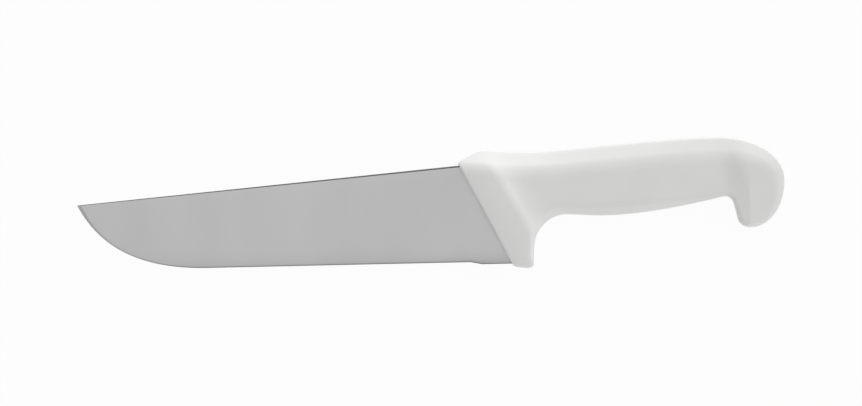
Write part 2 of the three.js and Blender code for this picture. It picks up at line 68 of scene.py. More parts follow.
# Blade, across its thickness
STOCK = 2.5  # thickness of the tang
SPINE_THICKNESS = 2.4  # ground spine at the handle
HEEL_THICKNESS = 0.9  # behind the edge at the heel
BELLY_THICKNESS = 0.3  # behind the edge where the belly starts
EDGE_ANGLE = 20  # degrees between each cutting bevel and the middle plane
EDGE_FLAT = 0.04  # width of the sharpened edge itself
SPINE_ROUND = 0.95  # rounding of the polished edges of the spine, at the handle
TIP_SPINE_ROUND = 0.3  # the same at the tip
EDGE_LINE = 0.6  # height of the darkest painted line along the edge
EDGE_BAND = 0.9  # least height of the faces along the edge, also where no bevel makes them

# Painted shade on the blade's sides, which darkens them towards the edge, more near the handle: 1 is as
# dark as the painted line on the edge itself
EDGE_PAINTED_SHADE = 0.17  # beside the straight edge
HEEL_PAINTED_SHADE = 0.33  # beside the edge at the handle
PAINTED_SHADE_RUN = 40  # where it begins to grow, ahead of the handle
PAINTED_SHADE_HEIGHT = 3.2  # height over which it falls to about a third

# Tang, inside the handle and parallel to the spine
ROOT_DEPTH = 7  # the blade's full height runs this far into the handle
ROOT_STEP = 1  # length over which the root thickens to the tang
TANG_DROP = 6  # top of the tang below the line of the spine
TANG_HEIGHT = 15
TANG_CORNER = 4  # rounding of the corners at its end
TANG_BUTT_WALL = 14  # end of the tang to the front of the hook
TANG_HOLE = 6.5  # diameter
TANG_HOLE_COUNT = 3
TANG_HOLE_PITCH = 24
TANG_HOLE_EDGE = 11  # centre of the last hole to the end of the tang
CLEARANCE = 0.3  # round the blade and tang inside the handle

# Handle, seen from its side
FRONT_RAKE = 27.3  # degrees between the front face and a square to the edge
FRONT_TOP_LIP = 0.8  # front face above the spine
FRONT_BOTTOM_LIP = 0.7  # front face below the heel
HUMP_SETBACK = 11.7  # thumb hump behind the top of the front face
HUMP_RISE = 5.7  # thumb hump above the top of the front face
HUMP_CREST = 2.7  # how far the hump stays level towards the thumb rest
THUMB_SETBACK = 23.7  # lowest point of the thumb rest behind the hump
THUMB_DIP = 1.4  # depth of the thumb rest below the hump
THUMB_LEAD = 16  # how far the thumb rest is nearly level ahead of its lowest point
THUMB_TRAIL = 10  # and behind it
BACK_HEIGHT = 55.15  # highest point of the back above the cutting edge
BACK_LEAD = 6.55  # that point ahead of the hook's corner
BACK_EASE = 30  # how far the back is nearly level ahead of that point
GUARD_LENGTH = 10.45  # heel to the rear face of the guard
GUARD_DROP = 3.2  # guard below the cutting edge
GUARD_CORNER = 2  # rounding of its rear lower corner
GUARD_HEIGHT = 9.4  # straight rear face, from the guard's lower end
GUARD_LEAN = 2.5  # degrees between the rear face and a square to the edge
GUARD_FILLET = 15  # length along the grip of the round between guard and grip
GRIP_UNDERSIDE = 20.3  # lowest point of the grip above the cutting edge
GRIP_LOW_SETBACK = 32.55  # that point behind the guard
INDEX_REST_RISE = 0.85  # grip at the guard's round, above its lowest point
GRIP_LOW_EASE = 19  # how far the grip is nearly level behind its lowest point
GRIP_REAR_RISE = 8.5  # hook's corner with the grip, above the grip's lowest point
GRIP_REAR_ANGLE = 13  # degrees at which the grip meets the hook
GRIP_REAR_EASE = 15.5  # how far the grip is nearly straight ahead of the hook
FINGER_ROOM = 92.1  # guard to the hook's corner
HOOK_CORNER = 4.5  # reach of the round in that corner
HOOK_LEAN = 13  # degrees between the front of the hook and a square to the edge
HOOK_DROP = 15.5  # end of the hook below its corner
HOOK_NOSE = 4  # reach of the round between the front of the hook and its end
HOOK_END_SETBACK = 8.25  # lowest point of the hook behind its corner
POMMEL_LENGTH = 24.25  # hook's corner to the butt
BUTT_HEIGHT = 35  # rearmost point of the butt above the cutting edge

# Handle, across its thickness
COLLAR_WIDTH = 23.1  # along the crown of its sides, at the top of the front face
GUARD_WIDTH = 21.8  # at the lower end of the guard
GRIP_WIDTH = 18
PALM_SWELL = 1  # added to the grip's width at its middle
POMMEL_WIDTH = 23
FRONT_EDGE = 0.9  # rounding of the front face's edges
COLLAR_CROWN = 11  # widest line of the collar at its top, back from the front face
GUARD_CROWN = 13.2  # the same line at the lower end of the guard
CROWN_FALL = 1.8  # width lost from there to the front face
SCOOP_LENGTH = 18  # hollow from the collar down to the grip
CREST_SETBACK = 8.75  # edge of the pommel's raised side behind the hook's corner
CREST_BEND = 16.3  # radius of that edge where it turns towards the back
CREST_BEND_HEIGHT = 40  # where the turn starts, above the cutting edge
POMMEL_RAMP = 13.5  # slope from the grip up to the pommel's raised side
FADE_START = 5  # degrees round the turn where the raised edge begins to fade
FADE_END = 65  # degrees round the turn where it is gone
SEAM_HEIGHT = 0.05  # fine ridge that the mould's two halves leave along the middle plane
SEAM_HALF_WIDTH = 0.15

# Bevels of the handle's edges: how far they reach over the sides, and the share of the width that is
# left between the two of them
COLLAR_BEVEL = 8
COLLAR_BACK_SHARE = 0.34
THUMB_BEVEL = 8.2
THUMB_BACK_SHARE = 0.25
REAR_BEVEL = 8
REAR_BACK_SHARE = 0.59
BUTT_BEVEL = 5
BUTT_SHARE = 0.9
GUARD_BEVEL = 4.5
GUARD_SHARE = 0.88
GRIP_UNDER_BEVEL = 4
GRIP_UNDER_SHARE = 0.6
HOOK_BEVEL = 1.6
HOOK_SHARE = 0.9
HOOK_END_ROUNDING = 4  # length over which the width closes at the end of the hook

# Form of the curves, as pure numbers
CIRCLE_FULLNESS = 0.5523  # a cubic curve of this fullness is a quarter circle
RAMP_FULLNESS = 0.15  # of the thumb ramp, which is flatter
BUTT_FULLNESS = 0.575  # of the back's turn down to the butt, which is fuller
BEVEL_EDGE = 0.1  # share of a bevel that is rounded towards the back or the underside
BEVEL_SOFTNESS = 0.3  # share of a bevel that is rounded towards the side
BEVEL_TAIL = 0.65  # how far that rounding runs on over the side, as a share of the bevel
SCOOP_STEEPEST = 0.24  # share of the hollow's length at which it is steepest
RAMP_SOFTNESS = 0.5  # share of the pommel's slope that is hollow
CREST_SOFTNESS = 0.12  # share of it that is rounded at the crest, on the hook
CREST_TOP_SOFTNESS = 0.45  # the same where the crest turns towards the back
FLANK_SHARE = 0.3  # least share of a section that stays between its roundings
CREST_MARGIN = 0.2  # least share of that flank on each side of the pommel's crest
SEAM_SHARE = 0.25  # most of a section's height that the mould's ridge may add
EDGE_BAND_SHARE = 0.25  # most of the blade's height that EDGE_BAND may take up
BEVEL_SHARE = 0.5  # most of the blade's height below the tang that the cutting bevel may take up
EDGE_LINE_SHARE = 0.75  # most of the faces along the edge that EDGE_LINE may take up

# Fineness of the meshes
CURVE_STEPS = 800  # in each curve of the side view
STRETCH_STEPS = (44, 60, 90, 100)  # in each stretch of the handle, from front to hook
EDGE_STEPS = 12  # in a bevel's rounding towards the back or the underside
BEVEL_STEPS = 10  # in its rounding towards the side
UPPER_FLANK_STEPS = 14  # in the handle's side above the pommel's crest
LOWER_FLANK_STEPS = 22  # and below it
HALVINGS = 30  # in a search for a place
BELLY_STEPS = 110  # along the blade's lower outline
STRAIGHT_STEPS = 40
RUN_OUT_STEPS = 8
HEEL_STEPS = 10
SPINE_STEPS = 8  # in the rounding of the spine's edges
FLAT_ROWS = (0.3, 0.55, 0.7, 0.8, 0.87, 0.92, 0.96, 1)  # shares of the side, down to the bevel
TANG_ROWS = 4  # over the tang's height
TANG_END_STEPS = 8  # in the rounding of the tang's corners
HOLE_SIDES = 32
BLADE_SMOOTH_BELOW = 14  # degrees between faces, under which they are shaded as one surface
HANDLE_SMOOTH_BELOW = 30  # the same

# Steel: colours, noise in repeats per metre along X, Y and Z, and depths in metres
STEEL_COLOURS = ((0.675, 0.675, 0.677), (0.71, 0.71, 0.712))
# colour of the painted shade: dark reflections on the spine, a dark line on the edge, shade beside the
# edge
PAINTED_SHADE_COLOUR = (0.1, 0.1, 0.1)
STEEL_ROUGHNESS = (0.2, 0.25)
STEEL_BANDS = (40, 14, 14)  # broad change of tone
STEEL_BAND_DETAIL = 2
GRINDING_LINES = (2600, 25, 25)  # fine lines across the blade
GRINDING_DETAIL = 3
GRINDING_DEPTH = 0.0000012

# Plastic, in the same way
PLASTIC_COLOURS = ((0.81, 0.807, 0.795), (0.83, 0.827, 0.817))
PLASTIC_ROUGHNESS = (0.40, 0.52)
PLASTIC_CLOUD = (60, 60, 60)  # broad change of tone
PLASTIC_CLOUD_DETAIL = 3
PLASTIC_GRAIN = (2200, 2200, 2200)
PLASTIC_GRAIN_DETAIL = 2
PLASTIC_GRAIN_DEPTH = 0.00001
PLASTIC_IOR = 1.49
PLASTIC_SCATTER = 0.15  # share of the light that scatters inside it
PLASTIC_SCATTER_REACH = (0.003, 0.003, 0.0025)  # how far red, green and blue light go there

NOISE_RANGE = (0.3, 0.7)  # between which most of a noise's values lie

# Camera: the photograph's frame, in pixels, and where the heel is in it
FRAME_WIDTH = 862
FRAME_HEIGHT = 406
HEEL_PIXEL = (511.0, 261.3)
PIXEL_SIZE = 0.46147  # millimetres, at the blade
CAMERA_ROLL = -1.25  # degrees
LENS = 400  # millimetres
SENSOR = 36  # millimetres

# Light, in watts and metres
SKY_LEVEL = 0.78  # brightness of the sky, on average
SKY_LEAN = (0.42, 0.18, -0.1)  # share by which it is brighter towards X, Y and Z
KEY_POWER = 9
FILL_POWER = 2.9
LAMP_DISTANCE = 1.3
LAMP_HEIGHT = 0.07
LAMP_SIZE = (1.6, 0.32)
KEY_SHIFT = 0.3  # of the key lamp towards the butt
FLOOR_REACH = 8  # from the frame's origin to each of the floor's sides
FLOOR_COLOUR = (0.9, 0.9, 0.9)
FLOOR_WHITENESS = 0.94  # how far the camera and the steel see plain white in its place


# Points and curves of the side view

def point(x, y):
    return np.array([x, y], float)


def direction(angle):
    return point(cos(radians(angle)), sin(radians(angle)))


def cubic(start, first, second, end):
    t = np.linspace(0, 1, CURVE_STEPS + 1)[:, None]
    s = 1 - t
    return s**3 * start + 3 * s**2 * t * first + 3 * s * t**2 * second + t**3 * end


def line(start, end):
    return np.linspace(start, end, 2)


def rounding(start, corner, end, fullness=CIRCLE_FULLNESS):
    """A round from start to end, inside the corner between the two."""
    return cubic(start, start + fullness * (corner - start), end + fullness * (corner - end), end)


def ease(start, end, start_ease, end_ease, end_angle=0):
    """A curve that leaves level, and arrives at its end level or at an angle."""
    return cubic(start, start + point(start_ease, 0), end - end_ease * direction(end_angle), end)


def joined(*stretches):
    """Stretches put end to end, each of which starts where the one before it ends."""
    return np.concatenate([stretches[0]] + [stretch[1:] for stretch in stretches[1:]])


def spread(path, shares):
    """Points at the given shares of a path's length."""
    steps = np.linalg.norm(np.diff(path, axis=0), axis=1)
    reached = np.concatenate([[0], np.cumsum(steps)])
    wanted = np.asarray(shares) * reached[-1]
    return np.column_stack([np.interp(wanted, reached, path[:, axis]) for axis in (0, 1)])


def lerp(a, b, share):
    return a + (b - a) * share


def between(forms, shares):
    """Each number of a form, at shares of the way along evenly spaced forms."""
    stops = np.linspace(0, 1, len(forms))
    return np.array([np.interp(shares, stops, numbers) for numbers in zip(*forms)])


def smoothstep(share):
    held = np.clip(share, 0, 1)
    return held * held * (3 - 2 * held)


# Lines and points that both pieces share

RAKE = radians(FRONT_RAKE)
SPINE_SLOPE = tan(radians(SPINE_RISE))
TIP = point(-BLADE_LENGTH, TIP_HEIGHT)
HOOK_INSIDE = point(GUARD_LENGTH + FINGER_ROOM, GRIP_UNDERSIDE + GRIP_REAR_RISE)


def spine_y(x):
    return TIP_HEIGHT + (x + BLADE_LENGTH) * SPINE_SLOPE


def behind_front(depth, y):
    """A point at a given height, on a line parallel to the front face and a given depth behind it."""
    return point(depth / cos(RAKE) - y * tan(RAKE), y)


def below_spine(depth, drop):
    """Where such a line meets a line parallel to the spine, a given height below it."""
    level = spine_y(0) - drop
    x = (depth / cos(RAKE) - level * tan(RAKE)) / (1 + SPINE_SLOPE * tan(RAKE))
    return point(x, level + x * SPINE_SLOPE)


# Meshes

def frame_origin():
    """Where the heel and the blade's middle plane are in the frame."""
    tip_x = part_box("blade")[0].x
    handle_low, handle_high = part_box("handle")
    middle_z = (handle_low.z + handle_high.z) / 2
    return np.array([tip_x + BLADE_LENGTH * MM, handle_high.y - BACK_HEIGHT * MM, middle_z])


ORIGIN = frame_origin()


def piece(name, vertices, faces):
    """A closed object made of points in millimetres, with its faces turned outwards."""
    mesh = bpy.data.meshes.new(name)
    mesh.from_pydata((ORIGIN + np.asarray(vertices) * MM).tolist(), [], faces)
    skin = bmesh.new()
    skin.from_mesh(mesh)
    bmesh.ops.recalc_face_normals(skin, faces=skin.faces)
    skin.to_mesh(mesh)
    skin.free()
    made = bpy.data.objects.new(name, mesh)
    bpy.context.scene.collection.objects.link(made)
    return made


def subtract(body, cutter):
    """Cuts one object out of another and removes the cutter."""
    cut = body.modifiers.new("cut", "BOOLEAN")
    cut.operation = "DIFFERENCE"
    cut.solver = "EXACT"
    cut.object = cutter
    graph = bpy.context.evaluated_depsgraph_get()
    whole = body.data
    body.data = bpy.data.meshes.new_from_object(body.evaluated_get(graph))
    body.modifiers.clear()
    bpy.data.meshes.remove(whole)
    bpy.data.objects.remove(cutter)


def grown(body, gap):
    """A copy of a closed object, larger by a gap on every side."""
    copy = bpy.data.objects.new(body.name + "_grown", body.data.copy())
    bpy.context.scene.collection.objects.link(copy)
    skin = bmesh.new()
    skin.from_mesh(copy.data)
    skin.normal_update()
    moves = [vertex.normal * gap * MM * vertex.calc_shell_factor() for vertex in skin.verts]
    for vertex, move in zip(skin.verts, moves):
        vertex.co += move
    skin.to_mesh(copy.data)
    skin.free()
    return copy


def numbered_rings(first_index, count, size):
    """Indices of the vertices of equal rings that follow one another."""
    starts = range(first_index, first_index + count * size, size)
    return [list(range(start, start + size)) for start in starts]


def ring_faces(first, second):
    """Faces between two rings of as many vertices, each given as a list of indices."""
    count = len(first)
    return [
        (first[i], first[(i + 1) % count], second[(i + 1) % count], second[i])
        for i in range(count)
    ]


def lid_faces(ring, start, end):
    """Faces across a mirrored ring, between two of its rows."""
    last = len(ring) - 1
    return [(ring[i], ring[i + 1], ring[last - i - 1], ring[last - i]) for i in range(start, end)]


# Blade

BELLY_END = point(TIP[0] + BELLY_LENGTH, 0)
EDGE_END = point(-HEEL_LENGTH, 0)
RUN_OUT_END = EDGE_END + (HEEL_DROP / tan(radians(RUN_OUT_ANGLE)), -HEEL_DROP)
ROOT_BOTTOM = behind_front(ROOT_DEPTH, -HEEL_DROP)
ROOT_TOP = below_spine(ROOT_DEPTH, 0)
TANG_END = HOOK_INSIDE[0] - TANG_BUTT_WALL  # along X


def belly():
    towards_tip = direction(TIP_ANGLE) * (-1, 1)
    return cubic(TIP, TIP - TIP_EASE * towards_tip, BELLY_END - (BELLY_EASE, 0), BELLY_END)


def sharpened_edge():
    """The line of the cutting edge, and on along the run-out past the heel."""
    beyond = point(0, -HEEL_LENGTH * tan(radians(RUN_OUT_ANGLE)))
    return joined(belly(), line(BELLY_END, EDGE_END), line(EDGE_END, beyond))


def lower_outline():
    """The blade's lower outline from the tip to the root inside the handle."""
    return joined(
        belly(), line(BELLY_END, EDGE_END), line(EDGE_END, RUN_OUT_END), line(RUN_OUT_END, ROOT_BOTTOM),
    )


def distance_to(path, points):
    """Distance of each point from a path."""
    starts = path[:-1]
    spans = path[1:] - starts
    offsets = points[:, None, :] - starts[None]
    shares = np.clip((offsets * spans).sum(2) / (spans * spans).sum(1), 0, 1)
    return np.linalg.norm(offsets - shares[..., None] * spans, axis=2).min(1)


def ground_half(points):
    """Half the blade's thickness between spine and bevel: a plane through three thicknesses."""
    spine_end = below_spine(0, 0)
    along_x = (HEEL_THICKNESS - BELLY_THICKNESS) / -BELLY_END[0]
    along_y = (SPINE_THICKNESS - HEEL_THICKNESS - along_x * spine_end[0]) / spine_end[1]
    return (HEEL_THICKNESS + along_x * points[:, 0] + along_y * points[:, 1]) / 2


def bevel_half(points):
    """Half the blade's thickness on the cutting bevel, which grows with the distance from the edge."""
    return EDGE_FLAT / 2 + tan(radians(EDGE_ANGLE)) * distance_to(sharpened_edge(), points)


def column_places():
    """Where the columns of faces start on the lower outline, along X, closer together at the tip."""
    belly_shares = np.linspace(0, 1, BELLY_STEPS + 1)[1:] ** 2
    stops = [BELLY_END[0], EDGE_END[0], RUN_OUT_END[0], ROOT_BOTTOM[0]]
    places = [TIP[0] + BELLY_LENGTH * belly_shares]
    for start, end, steps in zip(stops, stops[1:], (STRAIGHT_STEPS, RUN_OUT_STEPS, HEEL_STEPS)):
        places.append(np.linspace(start, end, steps + 1)[1:])
    return np.concatenate(places)


def shoulder_heights(feet, heads):
    """How far up each column the faces along the edge reach: to the top of the cutting bevel, if any."""
    lengths = np.linalg.norm(heads - feet, axis=1)
    low = np.zeros(len(feet))
    high = lengths.copy()
    for _ in range(HALVINGS):
        middle = (low + high) / 2
        places = lerp(feet, heads, (middle / lengths)[:, None])
        inside = bevel_half(places) < ground_half(places)
        low = np.where(inside, middle, low)
        high = np.where(inside, high, middle)
    return np.maximum(low, np.minimum(EDGE_BAND, lengths * EDGE_BAND_SHARE))


def root_share(drop):
    """A height below the spine, as a share of the blade's height at its root."""
    below = np.linalg.norm(below_spine(ROOT_DEPTH, drop) - ROOT_TOP)
    return below / np.linalg.norm(ROOT_BOTTOM - ROOT_TOP)


def blade_rows(feet, heads):
    """Drops of the rows in every column, the spine's roundings, and the tang's first and last row."""
    lengths = np.linalg.norm(heads - feet, axis=1)
    tang_top = root_share(TANG_DROP)
    tang_bottom = root_share(TANG_DROP + TANG_HEIGHT)
    along = (heads[:, 0] - TIP[0]) / (ROOT_TOP[0] - TIP[0])
    rounds = np.minimum(lerp(TIP_SPINE_ROUND, SPINE_ROUND, along), lengths * tang_top / 2)
    angles = np.linspace(0, pi / 2, SPINE_STEPS + 1)
    rows = [rounds * (1 - cos(angle)) for angle in angles]
    first_tang_row = len(rows)
    rows += [lengths * share for share in np.linspace(tang_top, tang_bottom, TANG_ROWS)]
    last_tang_row = len(rows) - 1
    shoulders = lengths - shoulder_heights(feet, heads)
    start = lengths * tang_bottom
    flat_end = np.maximum(shoulders, lerp(start, lengths, 1 - BEVEL_SHARE))
    rows += [lerp(start, flat_end, share) for share in FLAT_ROWS]
    rows.append(np.maximum(lengths - EDGE_LINE, lerp(flat_end, lengths, 1 - EDGE_LINE_SHARE)))
    rows.append(lengths)
    return np.column_stack(rows), rounds, (first_tang_row, last_tang_row)


def blade_columns():
    """Columns of X, Y and half thickness from spine to edge, and the tang's first and last row."""
    across = column_places()
    outline = lower_outline()
    feet = np.column_stack([across, np.interp(across, outline[:, 0], outline[:, 1])])
    shares = (across - TIP[0]) / (ROOT_BOTTOM[0] - TIP[0])
    heads = lerp(TIP, ROOT_TOP, shares[:, None])
    drops, rounds, tang_rows = blade_rows(feet, heads)
    lengths = np.linalg.norm(heads - feet, axis=1)
    places = lerp(heads[:, None], feet[:, None], (drops / lengths[:, None])[..., None])
    flat = places.reshape(-1, 2)
    half = np.minimum(ground_half(flat), bevel_half(flat)).reshape(drops.shape)
    inside = np.maximum(rounds[:, None] - drops, 0)
    cut = rounds[:, None] - np.sqrt(np.maximum(rounds[:, None] ** 2 - inside**2, 0))
    return np.dstack([places, np.maximum(half - cut, EDGE_FLAT / 2)]), tang_rows


def tang_columns():
    """The tang's columns of points, from its top to its underside."""
    turn = np.linspace(0, pi / 2, TANG_END_STEPS + 1)
    end_places = TANG_END - TANG_CORNER + TANG_CORNER * np.sin(turn)
    insets = TANG_CORNER * (1 - np.cos(turn))
    top = [below_spine(ROOT_DEPTH + ROOT_STEP, TANG_DROP)]
    under = [below_spine(ROOT_DEPTH + ROOT_STEP, TANG_DROP + TANG_HEIGHT)]
    for x, inset in zip(end_places, insets):
        top.append(point(x, spine_y(x) - TANG_DROP - inset))
        under.append(point(x, spine_y(x) - TANG_DROP - TANG_HEIGHT + inset))
    shares = np.linspace(0, 1, TANG_ROWS)[None, :, None]
    places = lerp(np.array(top)[:, None], np.array(under)[:, None], shares)
    return np.dstack([places, np.full(places.shape[:2], STOCK / 2)])


def mirrored_rings(columns, first_index):
    """Points of each column on one side and then back on the other, and their indices by ring."""
    other = columns[:, ::-1] * (1, 1, -1)
    points = np.concatenate([columns, other], axis=1)
    return points.reshape(-1, 3), numbered_rings(first_index, *points.shape[:2])


def tang_holes():
    """A rod through the tang at each hole, as one object."""
    turns = np.linspace(0, 2 * pi, HOLE_SIDES, endpoint=False)
    points, faces = [], []
    for i in range(TANG_HOLE_COUNT):
        x = TANG_END - TANG_HOLE_EDGE - i * TANG_HOLE_PITCH
        y = spine_y(x) - TANG_DROP - TANG_HEIGHT / 2
        rings = numbered_rings(len(points), 2, HOLE_SIDES)
        faces += ring_faces(*rings) + [tuple(ring) for ring in rings]
        for z in (-STOCK, STOCK):
            points += [(x + TANG_HOLE / 2 * cos(t), y + TANG_HOLE / 2 * sin(t), z) for t in turns]
    return piece("tang_holes", points, faces)


def painted_shade_levels(columns):
    """How dark the painted shade makes each point: most as a painted dark reflection on the spine's
    rounding and a painted dark line on the edge, and a little as painted shade beside the edge.

    The edge and the sides beside it turn paler along the belly towards the tip.
    """
    edge_x = columns[:, -1:, 0]
    heights = np.linalg.norm(columns[:, -1:, :2] - columns[:, :, :2], axis=2)
    near_handle = smoothstep(1 + edge_x / PAINTED_SHADE_RUN)
    along_belly = smoothstep((edge_x - TIP[0]) / BELLY_LENGTH)
    beside_edge = along_belly * lerp(EDGE_PAINTED_SHADE, HEEL_PAINTED_SHADE, near_handle)
    painted_levels = beside_edge * np.exp(-heights / PAINTED_SHADE_HEIGHT)
    painted_levels[:, :SPINE_STEPS] = 1
    painted_levels[:, -1:] = along_belly
    return painted_levels


def make_blade():
    """The blade and its tang as one closed mesh, from the point of the tip to the end of the tang."""
    columns, (tang_start, tang_end) = blade_columns()
    points, rings = mirrored_rings(columns, 1)
    tang_points, tang_rings = mirrored_rings(tang_columns(), 1 + len(points))
    root = rings[-1]
    root_tang = root[tang_start:tang_end + 1] + root[-tang_end - 1:-tang_start]
    rows = columns.shape[1]

    count = len(root)
    faces = [(0, rings[0][i], rings[0][(i + 1) % count]) for i in range(count)]
    for first, second in zip(rings, rings[1:]):
        faces += ring_faces(first, second)
    faces += lid_faces(root, 0, tang_start) + lid_faces(root, tang_end, rows - 1)
    for first, second in zip([root_tang] + tang_rings, tang_rings):
        faces += ring_faces(first, second)
    faces += lid_faces(tang_rings[-1], 0, len(tang_rings[-1]) // 2 - 1)

    blade = piece("blade_steel", np.concatenate([[(*TIP, 0)], points, tang_points]), faces)
    # painted shade: a dark reflection on the spine, a dark line on the edge, and shade beside the edge
    painted_levels = painted_shade_levels(columns)
    ring_painted_levels = np.concatenate([painted_levels, painted_levels[:, ::-1]], axis=1).ravel()
    tone = blade.data.attributes.new(PAINTED_SHADE_NAME, "FLOAT", "POINT")
    tone.data.foreach_set("value", np.concatenate([[1], ring_painted_levels, np.zeros(len(tang_points))]))
    subtract(blade, tang_holes())
    return blade


# Handle, seen from its side: a back and an underside in four stretches each

FRONT_TOP = behind_front(0, below_spine(0, 0)[1] + FRONT_TOP_LIP)
FRONT_BOTTOM = behind_front(0, -HEEL_DROP - FRONT_BOTTOM_LIP)
HUMP = FRONT_TOP + (HUMP_SETBACK, HUMP_RISE)
THUMB = HUMP + (THUMB_SETBACK, -THUMB_DIP)
BACK = point(HOOK_INSIDE[0] - BACK_LEAD, BACK_HEIGHT)
BUTT = point(HOOK_INSIDE[0] + POMMEL_LENGTH, BUTT_HEIGHT)
HOOK_END = HOOK_INSIDE + (HOOK_END_SETBACK, -HOOK_DROP)


def on_guard(y):
    """A point at a given height on the rear face of the guard."""
    return point(GUARD_LENGTH + (y + GUARD_DROP) * tan(radians(GUARD_LEAN)), y)


def on_hook(y):
    """A point at a given height on the front of the hook."""
    return point(HOOK_INSIDE[0] + (HOOK_INSIDE[1] - y) * tan(radians(HOOK_LEAN)), y)


GUARD_CORNER_END = on_guard(GUARD_CORNER - GUARD_DROP)
GUARD_TOP = on_guard(GUARD_HEIGHT - GUARD_DROP)
INDEX_REST = point(GUARD_TOP[0] + GUARD_FILLET, GRIP_UNDERSIDE + INDEX_REST_RISE)
GRIP_LOW = point(GUARD_LENGTH + GRIP_LOW_SETBACK, GRIP_UNDERSIDE)
GRIP_REAR = HOOK_INSIDE - HOOK_CORNER * direction(GRIP_REAR_ANGLE)


def collar_top():
    return rounding(FRONT_TOP, behind_front(0, HUMP[1]), HUMP, RAMP_FULLNESS)


def guard_end():
    lower = point(GUARD_LENGTH - GUARD_CORNER, -GUARD_DROP)
    return joined(
        rounding(FRONT_BOTTOM, behind_front(0, -GUARD_DROP), lower),
        rounding(lower, on_guard(-GUARD_DROP), GUARD_CORNER_END),
    )


def thumb_rest():
    return ease(HUMP, THUMB, HUMP_CREST, THUMB_LEAD)


def guard_rear():
    fillet = rounding(GUARD_TOP, on_guard(INDEX_REST[1]), INDEX_REST)
    return joined(line(GUARD_CORNER_END, GUARD_TOP), fillet)


def grip_back():
    return ease(THUMB, BACK, THUMB_TRAIL, BACK_EASE)


def grip_underside():
    third = (GRIP_LOW[0] - INDEX_REST[0]) / 3
    return joined(
        ease(INDEX_REST, GRIP_LOW, third, third),
        ease(GRIP_LOW, GRIP_REAR, GRIP_LOW_EASE, GRIP_REAR_EASE, GRIP_REAR_ANGLE),
    )


def pommel_back():
    return joined(
        rounding(BACK, point(BUTT[0], BACK[1]), BUTT, BUTT_FULLNESS),
        rounding(BUTT, point(BUTT[0], HOOK_END[1]), HOOK_END),
    )


def hook_front():
    corner_end = on_hook(HOOK_INSIDE[1] - HOOK_CORNER * cos(radians(HOOK_LEAN)))
    nose_start = on_hook(HOOK_END[1] + HOOK_NOSE)
    return joined(
        rounding(GRIP_REAR, HOOK_INSIDE, corner_end), line(corner_end, nose_start),
        rounding(nose_start, on_hook(HOOK_END[1]), HOOK_END),
    )


# Handle, across its thickness

CREST_CENTRE = point(HOOK_INSIDE[0] + CREST_SETBACK - CREST_BEND, CREST_BEND_HEIGHT)


def from_crest_centre(x, y):
    """How far a point lies behind the middle of the crest's bend and above it, or 0 where it doesn't."""
    return np.maximum(x - CREST_CENTRE[0], 0), np.maximum(y - CREST_CENTRE[1], 0)


def crest_reach(x, y):
    """Distance from the middle of the crest's bend, which is the crest itself at CREST_BEND."""
    return np.hypot(*from_crest_centre(x, y))


def pommel_rise(x, y):
    """0 on the grip, 1 on the pommel's raised side."""
    share = np.clip((crest_reach(x, y) - CREST_BEND + POMMEL_RAMP) / POMMEL_RAMP, 0, 1)
    up_crest = smoothstep((y - HOOK_INSIDE[1]) / (CREST_BEND_HEIGHT - HOOK_INSIDE[1]))
    softness = lerp(CREST_SOFTNESS, CREST_TOP_SOFTNESS, up_crest)
    hollow = np.minimum(share, RAMP_SOFTNESS) ** 2 / (2 * RAMP_SOFTNESS)
    rounded = np.maximum(share - 1 + softness, 0) ** 2 / (2 * softness)
    full = 1 - (RAMP_SOFTNESS + softness) / 2
    rise = (hollow + np.maximum(share - RAMP_SOFTNESS, 0) - rounded) / full
    right, up = from_crest_centre(x, y)
    turn = np.degrees(np.arctan2(up, right))
    return rise * (1 - smoothstep((turn - FADE_START) / (FADE_END - FADE_START)))


def crown_fall(share):
    """Width that the collar loses at a share of the way from the front face to its crown."""
    return CROWN_FALL * np.clip(1 - share, 0, 1) ** 3


def scoop_fall(share):
    """0 on the collar, 1 past the hollow behind it: its slope grows evenly, and then fades out."""
    steepest = 1 / (SCOOP_STEEPEST / 2 + (1 - SCOOP_STEEPEST) / 3)
    growing = steepest * share**2 / (2 * SCOOP_STEEPEST)
    fading = 1 - steepest * (1 - share) ** 3 / (3 * (1 - SCOOP_STEEPEST) ** 2)
    return np.where(share < SCOOP_STEEPEST, growing, fading)


def front_edge_cut(depth):
    """What the rounding of the front edges takes off the width."""
    inside = np.clip(FRONT_EDGE - depth, 0, FRONT_EDGE)
    return FRONT_EDGE - np.sqrt(FRONT_EDGE**2 - inside**2)


def side_half(x, y):
    """Half the width of the handle's sides at a point of the side view."""
    depth = x * cos(RAKE) + y * sin(RAKE)
    collar_share = (y + GUARD_DROP) / (FRONT_TOP[1] + GUARD_DROP)
    crown = lerp(GUARD_CROWN, COLLAR_CROWN, collar_share)
    collar = lerp(GUARD_WIDTH, COLLAR_WIDTH, collar_share) - crown_fall(depth / crown)
    scoop = scoop_fall(np.clip((depth - crown) / SCOOP_LENGTH, 0, 1))
    grip_share = np.clip((x - GUARD_LENGTH) / FINGER_ROOM, 0, 1)
    grip = GRIP_WIDTH + PALM_SWELL * np.sin(grip_share * pi) ** 2
    width = lerp(lerp(collar, grip, scoop), POMMEL_WIDTH, pommel_rise(x, y))
    return width / 2 - front_edge_cut(depth)


def crest_crossings(tops, unders, lengths):
    """Where the crest crosses each section, as a distance from its top."""
    near = np.zeros(len(tops))
    far = lengths.copy()
    for _ in range(HALVINGS):
        middle = (near + far) / 2
        places = lerp(tops, unders, (middle / lengths)[:, None])
        beyond = crest_reach(places[:, 0], places[:, 1]) > CREST_BEND
        near = np.where(beyond, middle, near)
        far = np.where(beyond, far, middle)
    return near


def bend(start, corner, end, steps):
    """Points of a round inside a corner, each a pair of drop and share, from start to end."""
    return [
        tuple((1 - t) ** 2 * a + 2 * (1 - t) * t * b + t**2 * c for a, b, c in zip(start, corner, end))
        for t in steps
    ]


def bevel_form(reach, share, full_reach=None):
    """A bevel's reach over the side, the share of the width that it leaves, and its reach when whole."""
    return reach, share, reach if full_reach is None else full_reach


